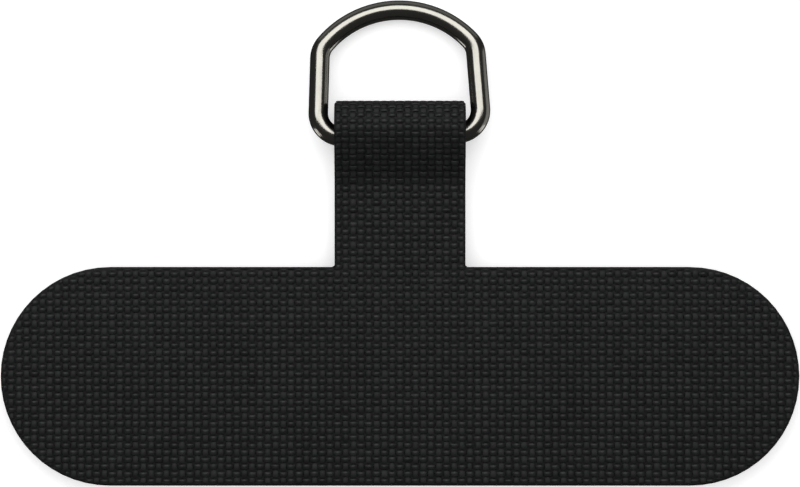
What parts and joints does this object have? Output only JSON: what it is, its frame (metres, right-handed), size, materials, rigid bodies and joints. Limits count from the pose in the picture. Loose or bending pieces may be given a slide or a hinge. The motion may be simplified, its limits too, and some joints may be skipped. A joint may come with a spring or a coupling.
{
  "type": "phone tether pad with d-ring",
  "caption": "T-shaped patch of coated woven cloth that lies inside a phone case, with a wire D-ring in its folded tab for a crossbody strap's clip.",
  "frame": {"origin": "under the centre of the whole part's box, on the surface that it lies on", "axes": "+X along the pad, +Y from the pad towards the ring, +Z out of the front face"},
  "size_m": [0.061, 0.0371, 0.0048],
  "materials": {
    "cloth": "plain weave of thick black yarn with a faint rubbery sheen, cut edges sealed",
    "ring": "polished nickel plate on steel wire, slightly warm"
  },
  "bodies": {
    "pad": {"woven_pad": "cloth"},
    "ring": {"d_ring": "ring"}
  },
  "joints": [
    {"name": "ring_swing", "type": "hinge", "parent": "pad", "child": "ring", "pos_m": [0, 0.00821, 0.00218], "axis": [0.9997, 0.0262, 0], "range_deg": [-145, 182]}
  ]
}
